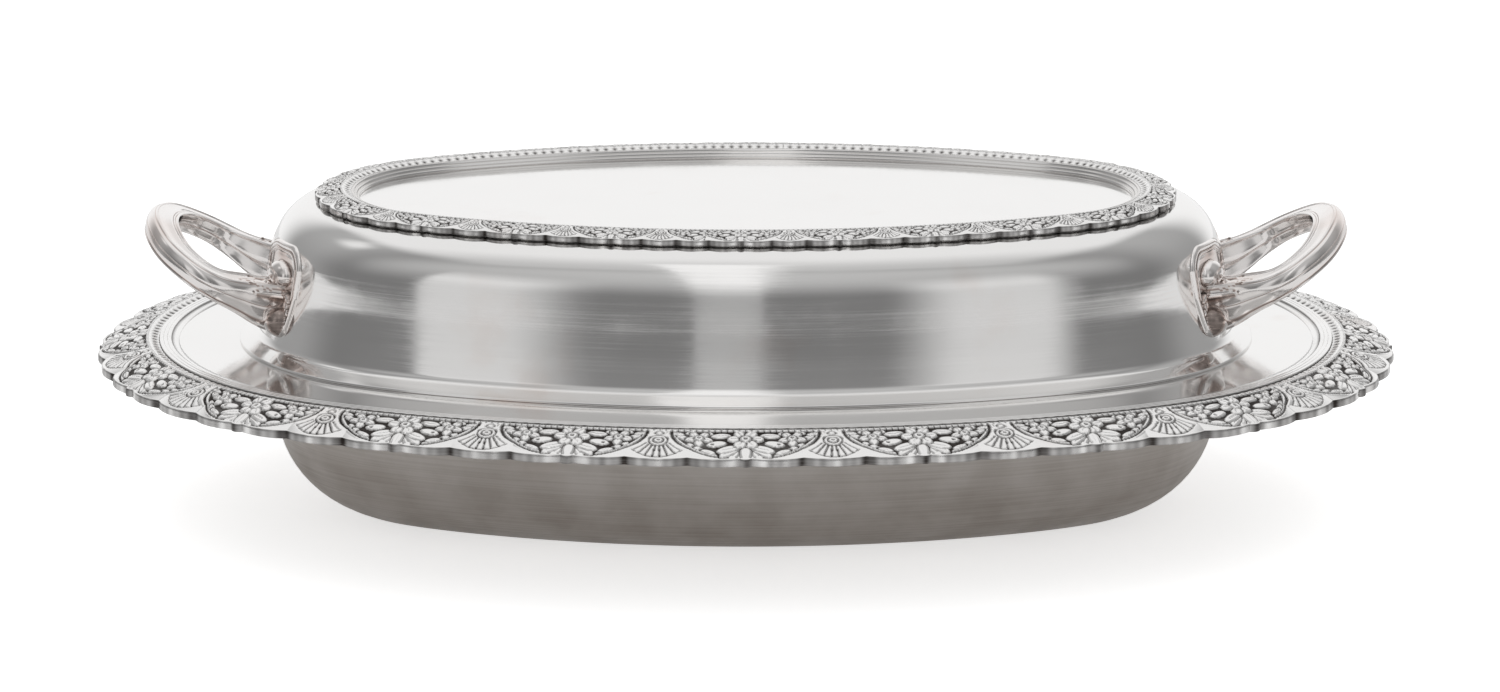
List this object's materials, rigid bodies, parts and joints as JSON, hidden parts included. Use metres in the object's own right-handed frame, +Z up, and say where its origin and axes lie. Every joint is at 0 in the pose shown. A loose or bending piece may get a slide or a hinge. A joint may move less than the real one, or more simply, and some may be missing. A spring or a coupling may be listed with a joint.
{
  "type": "covered serving dish",
  "caption": "Oval covered serving dish in silver plate: broad-rimmed pan with an ornamental border, and a domed lid with loop handles that lifts off.",
  "frame": {"origin": "centre of the flat base that the dish stands on", "axes": "+X along the length, towards the right handle; +Y across, towards the back; +Z up"},
  "size_m": [0.33, 0.222, 0.083],
  "materials": {
    "plain_plate": "silver plate over copper alloy, polished, with soft wear and fine scratches",
    "ornament_plate": "silver plate over copper alloy, stamped ornament, dark tarnish in the hollows",
    "cast_plate": "silver plate over cast copper alloy, worn to a warm tint in places"
  },
  "bodies": {
    "dish": {"dish_pan": "plain_plate", "dish_reeding": "ornament_plate", "dish_border_front": "ornament_plate", "dish_border_back": "ornament_plate"},
    "lid": {"lid_shell": "plain_plate", "lid_bezel": "plain_plate", "lid_moulding": "ornament_plate", "lid_border_left": "ornament_plate", "lid_border_right": "ornament_plate", "handle_left_base": "cast_plate", "handle_left_loop_upper": "cast_plate", "handle_left_loop_lower": "cast_plate", "handle_right_base": "cast_plate", "handle_right_loop_upper": "cast_plate", "handle_right_loop_lower": "cast_plate"}
  },
  "joints": [
    {"name": "lid_lift", "type": "slide", "parent": "dish", "child": "lid", "axis": [0, 0, 1], "range_m": [0, 0.12]}
  ]
}
